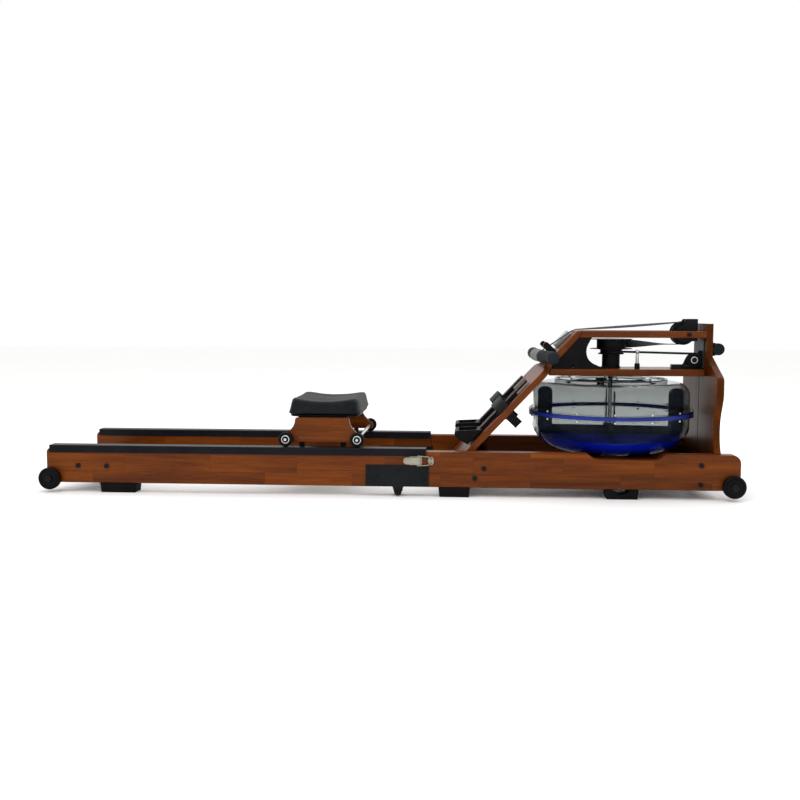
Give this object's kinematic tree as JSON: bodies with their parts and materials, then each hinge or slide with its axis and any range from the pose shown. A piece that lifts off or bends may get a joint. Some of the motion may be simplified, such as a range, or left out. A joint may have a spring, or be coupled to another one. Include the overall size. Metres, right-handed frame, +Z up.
{
  "type": "rowing machine",
  "caption": "Folding wooden rowing machine with a clear water tank and paddle, a rolling seat on twin rails, a strap-pulled handle, sloping footboard and transport wheels.",
  "frame": {"origin": "on the floor, under the middle of the machine's length and width", "axes": "+X along the machine towards the tank end, +Y across it, +Z up"},
  "size_m": [2.074, 0.5, 0.5202],
  "materials": {
    "wood": "semi-gloss lacquer",
    "track": "satin black",
    "black_plastic": "satin moulded",
    "black_steel": "black powder coat",
    "steel": "satin",
    "grey_plate": "satin grey",
    "latch_metal": "yellowish nickel",
    "rubber": "matt",
    "grip_rubber": "matt, slightly ribbed",
    "band": "satin light grey",
    "tank_clear": "clear moulded",
    "gasket": "satin blue",
    "webbing": "woven black webbing",
    "cord": "woven cord cover",
    "cushion": "charcoal upholstery",
    "wheel_tread": "satin",
    "blade": "satin dark blue",
    "monitor_shell": "satin light grey",
    "bolt_black": "black oxide"
  },
  "bodies": {
    "front_frame": {"front_rails": "wood", "hinge_arms": "black_steel", "footboard": "wood", "cross_boards": "wood", "shelf": "wood", "top_beams": "wood", "front_panel": "wood", "cheek_plates": "wood", "tank_lower_shell": "tank_clear", "tank_upper_shell": "tank_clear", "tank_gasket": "gasket", "tank_lid": "tank_clear", "tank_clips": "black_plastic", "fill_plug": "black_plastic", "drum_housing": "black_plastic", "guide_post": "steel", "strap_pulley_bracket": "black_steel", "bungee_pulley_bracket": "black_steel", "panel_plate": "grey_plate", "bungee_cord": "cord", "pull_strap": "webbing", "handle_pegs": "black_plastic", "monitor": "monitor_shell", "stand_bumper": "black_steel", "front_feet": "rubber", "front_fasteners": "bolt_black", "latch_keepers": "latch_metal", "foot_bases": "black_plastic", "foot_straps": "webbing"},
    "rear_frame": {"rear_rails": "wood", "track_caps": "track", "rear_cross_board": "wood", "hinge_plates": "black_steel", "rear_fasteners": "bolt_black", "rear_feet": "rubber", "latch_bases": "latch_metal"},
    "seat": {"seat_cushion": "cushion", "seat_base": "black_steel", "seat_boards": "wood", "seat_axles": "steel", "seat_guides": "black_plastic"},
    "seat_wheels_front": {"seat_wheels_front": "wheel_tread"},
    "seat_wheels_rear": {"seat_wheels_rear": "wheel_tread"},
    "front_wheels": {"front_wheels": "wheel_tread"},
    "rear_wheels": {"rear_wheels": "wheel_tread"},
    "handle": {"handle_bar": "wood", "handle_grips": "grip_rubber", "handle_band": "band", "strap_lead": "webbing"},
    "strap_drum": {"strap_drum": "black_plastic"},
    "strap_pulley": {"strap_pulley": "black_plastic"},
    "bungee_pulley": {"bungee_pulley": "black_plastic"},
    "impeller": {"impeller_shaft": "steel", "impeller_blades": "blade"},
    "footplate_near": {"footplate_near": "black_plastic"},
    "footplate_far": {"footplate_far": "black_plastic"},
    "latch_lever_near": {"latch_lever_near": "latch_metal"},
    "latch_lever_far": {"latch_lever_far": "latch_metal"},
    "latch_bail_near": {"latch_bail_near": "latch_metal"},
    "latch_bail_far": {"latch_bail_far": "latch_metal"}
  },
  "joints": [
    {"name": "fold", "type": "hinge", "parent": "front_frame", "child": "rear_frame", "pos_m": [0.039, 0, 0.014], "axis": [0, -1, 0], "range_deg": [0, 165]},
    {"name": "seat_slide", "type": "slide", "parent": "rear_frame", "child": "seat", "axis": [1, 0, 0], "range_m": [-0.68, 0.15]},
    {"name": "seat_front_roll", "type": "hinge", "parent": "seat", "child": "seat_wheels_front", "pos_m": [-0.0832, 0, 0.1628], "axis": [0, 1, 0], "continuous": true},
    {"name": "seat_rear_roll", "type": "hinge", "parent": "seat", "child": "seat_wheels_rear", "pos_m": [-0.2962, 0, 0.1628], "axis": [0, 1, 0], "continuous": true},
    {"name": "rear_wheel_roll", "type": "hinge", "parent": "rear_frame", "child": "rear_wheels", "pos_m": [-1.004, 0, 0.0418], "axis": [0, 1, 0], "continuous": true},
    {"name": "front_wheel_roll", "type": "hinge", "parent": "front_frame", "child": "front_wheels", "pos_m": [1.004, 0, 0.0418], "axis": [0, 1, 0], "continuous": true},
    {"name": "handle_pull", "type": "slide", "parent": "front_frame", "child": "handle", "axis": [-1, 0, 0], "range_m": [0, 1.2], "stiffness_N_per_m": 30, "springref_m": -0.3, "deforming": ["strap_lead"]},
    {"name": "drum_spin", "type": "hinge", "parent": "front_frame", "child": "strap_drum", "pos_m": [0.682, 0, 0.43], "axis": [0, 0, 1], "continuous": true},
    {"name": "strap_pulley_spin", "type": "hinge", "parent": "front_frame", "child": "strap_pulley", "pos_m": [0.896, 0, 0.477], "axis": [0, 1, 0], "continuous": true},
    {"name": "bungee_pulley_spin", "type": "hinge", "parent": "front_frame", "child": "bungee_pulley", "pos_m": [0.924, -0.04, 0.3965], "axis": [0, 1, 0], "continuous": true},
    {"name": "impeller_spin", "type": "hinge", "parent": "front_frame", "child": "impeller", "pos_m": [0.682, 0, 0.2], "axis": [0, 0, 1], "continuous": true},
    {"name": "footplate_near_slide", "type": "slide", "parent": "front_frame", "child": "footplate_near", "axis": [0.6845, 0, 0.729], "range_m": [-0.012, 0.04]},
    {"name": "latch_near_swing", "type": "hinge", "parent": "rear_frame", "child": "latch_lever_near", "pos_m": [0.1035, -0.2258, 0.106], "axis": [0, 0, 1], "range_deg": [0, 110]},
    {"name": "latch_near_bail", "type": "hinge", "parent": "latch_lever_near", "child": "latch_bail_near", "pos_m": [0.096, -0.2278, 0.106], "axis": [0, 0, 1], "range_deg": [-110, 0]},
    {"name": "footplate_far_slide", "type": "slide", "parent": "front_frame", "child": "footplate_far", "axis": [0.6845, 0, 0.729], "range_m": [-0.012, 0.04]},
    {"name": "latch_far_swing", "type": "hinge", "parent": "rear_frame", "child": "latch_lever_far", "pos_m": [0.1035, 0.2258, 0.106], "axis": [0, 0, -1], "range_deg": [0, 110]},
    {"name": "latch_far_bail", "type": "hinge", "parent": "latch_lever_far", "child": "latch_bail_far", "pos_m": [0.096, 0.2278, 0.106], "axis": [0, 0, -1], "range_deg": [-110, 0]}
  ],
  "couplings": [
    {"joint": "seat_front_roll", "follows": "seat_slide", "rad_per_m": 46.512},
    {"joint": "seat_rear_roll", "follows": "seat_slide", "rad_per_m": 46.512},
    {"joint": "drum_spin", "follows": "handle_pull", "rad_per_m": -22.222},
    {"joint": "strap_pulley_spin", "follows": "handle_pull", "rad_per_m": -29.24},
    {"joint": "bungee_pulley_spin", "follows": "handle_pull", "rad_per_m": -42.895},
    {"joint": "latch_near_bail", "follows": "latch_near_swing", "ratio": -1},
    {"joint": "latch_far_bail", "follows": "latch_far_swing", "ratio": -1}
  ]
}
